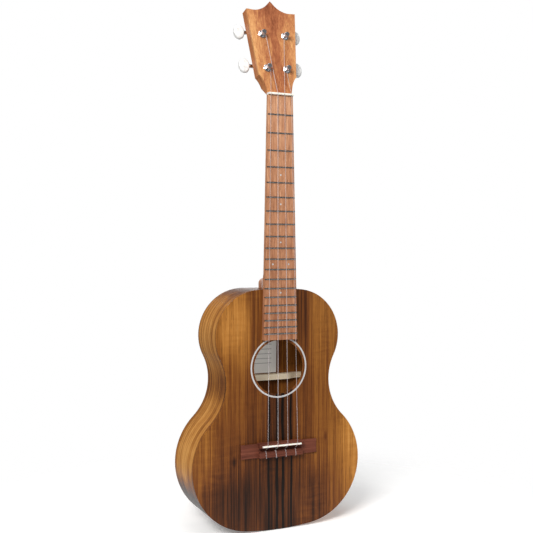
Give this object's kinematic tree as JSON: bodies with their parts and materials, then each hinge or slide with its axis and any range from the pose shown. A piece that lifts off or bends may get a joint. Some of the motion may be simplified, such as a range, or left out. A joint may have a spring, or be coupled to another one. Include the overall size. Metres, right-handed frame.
{
  "type": "tenor ukulele",
  "caption": "Acoustic tenor ukulele with figured wood body, round soundhole, slotted bridge and open geared tuning machines that turn",
  "frame": {"origin": "on the centreline, on the fretboard's top surface, under the front edge of the nut; a wall hanger holds the neck here", "axes": "+X towards the treble side, +Y from the strings into the body, +Z along the neck towards the headstock"},
  "size_m": [0.228, 0.0828, 0.6662],
  "materials": {
    "koa_top": "satin varnish over curly figured wood, dark in the middle",
    "koa_back": "satin varnish",
    "koa_side": "satin varnish, grain lengthwise",
    "lining_wood": "bare sanded wood",
    "spruce": "bare planed softwood",
    "neck_wood": "satin, open pores",
    "headplate_wood": "satin, open pores",
    "fretboard_wood": "oiled, open pores",
    "bridge_wood": "oiled, open pores",
    "white_inlay": "polished flush",
    "bone": "polished",
    "nickel_silver": "polished wire",
    "chrome": "bright plating",
    "nickel_plate": "plated sheet",
    "brass_gear": "cut brass",
    "pearloid": "pearl swirl",
    "string": "clear drawn line",
    "paper": "plain paper"
  },
  "bodies": {
    "root": {"back": "koa_back", "back_lining_bass": "lining_wood", "back_lining_treble": "lining_wood", "bridge": "bridge_wood", "bridge_plate": "spruce", "fan_braces": "spruce", "fretboard": "fretboard_wood", "frets": "nickel_silver", "headplate": "headplate_wood", "label": "paper", "lower_back_brace": "spruce", "lower_top_brace": "spruce", "middle_back_brace": "spruce", "neck": "neck_wood", "neck_block": "lining_wood", "nut": "bone", "plate_screws": "nickel_plate", "position_dots": "white_inlay", "post_bushings": "chrome", "saddle": "bone", "side_bass": "koa_side", "side_dots": "white_inlay", "side_treble": "koa_side", "soundboard": "koa_top", "soundhole_ring": "white_inlay", "string_a": "string", "string_c": "string", "string_e": "string", "string_g": "string", "tail_block": "lining_wood", "top_lining_bass": "lining_wood", "top_lining_treble": "lining_wood", "tuner_plates": "nickel_plate", "upper_back_brace": "spruce", "upper_top_brace": "spruce"},
    "knob_g": {"button_g": "pearloid", "worm_shaft_g": "chrome"},
    "string_post_g": {"post_g": "chrome", "gear_g": "brass_gear", "gear_screw_g": "nickel_plate", "winding_g": "string"},
    "knob_c": {"button_c": "pearloid", "worm_shaft_c": "chrome"},
    "string_post_c": {"post_c": "chrome", "gear_c": "brass_gear", "gear_screw_c": "nickel_plate", "winding_c": "string"},
    "knob_e": {"button_e": "pearloid", "worm_shaft_e": "chrome"},
    "string_post_e": {"post_e": "chrome", "gear_e": "brass_gear", "gear_screw_e": "nickel_plate", "winding_e": "string"},
    "knob_a": {"button_a": "pearloid", "worm_shaft_a": "chrome"},
    "string_post_a": {"post_a": "chrome", "gear_a": "brass_gear", "gear_screw_a": "nickel_plate", "winding_a": "string"}
  },
  "joints": [
    {"name": "knob_turn_g", "type": "hinge", "parent": "root", "child": "knob_g", "pos_m": [-0.0133, 0.03098, 0.03909], "axis": [1, 0, 0], "continuous": true},
    {"name": "post_turn_g", "type": "hinge", "parent": "root", "child": "string_post_g", "pos_m": [-0.0133, 0.01074, 0.03435], "axis": [0, -0.9703, 0.2419], "continuous": true},
    {"name": "knob_turn_c", "type": "hinge", "parent": "root", "child": "knob_c", "pos_m": [-0.01575, 0.04199, 0.08324], "axis": [1, 0, 0], "continuous": true},
    {"name": "post_turn_c", "type": "hinge", "parent": "root", "child": "string_post_c", "pos_m": [-0.01575, 0.02174, 0.0785], "axis": [0, -0.9703, 0.2419], "continuous": true},
    {"name": "knob_turn_e", "type": "hinge", "parent": "root", "child": "knob_e", "pos_m": [0.01575, 0.04199, 0.08324], "axis": [1, 0, 0], "continuous": true},
    {"name": "post_turn_e", "type": "hinge", "parent": "root", "child": "string_post_e", "pos_m": [0.01575, 0.02174, 0.0785], "axis": [0, -0.9703, 0.2419], "continuous": true},
    {"name": "knob_turn_a", "type": "hinge", "parent": "root", "child": "knob_a", "pos_m": [0.0133, 0.03098, 0.03909], "axis": [1, 0, 0], "continuous": true},
    {"name": "post_turn_a", "type": "hinge", "parent": "root", "child": "string_post_a", "pos_m": [0.0133, 0.01074, 0.03435], "axis": [0, -0.9703, 0.2419], "continuous": true}
  ],
  "couplings": [
    {"joint": "post_turn_g", "follows": "knob_turn_g", "ratio": 0.071429},
    {"joint": "post_turn_c", "follows": "knob_turn_c", "ratio": 0.071429},
    {"joint": "post_turn_e", "follows": "knob_turn_e", "ratio": 0.071429},
    {"joint": "post_turn_a", "follows": "knob_turn_a", "ratio": 0.071429}
  ]
}
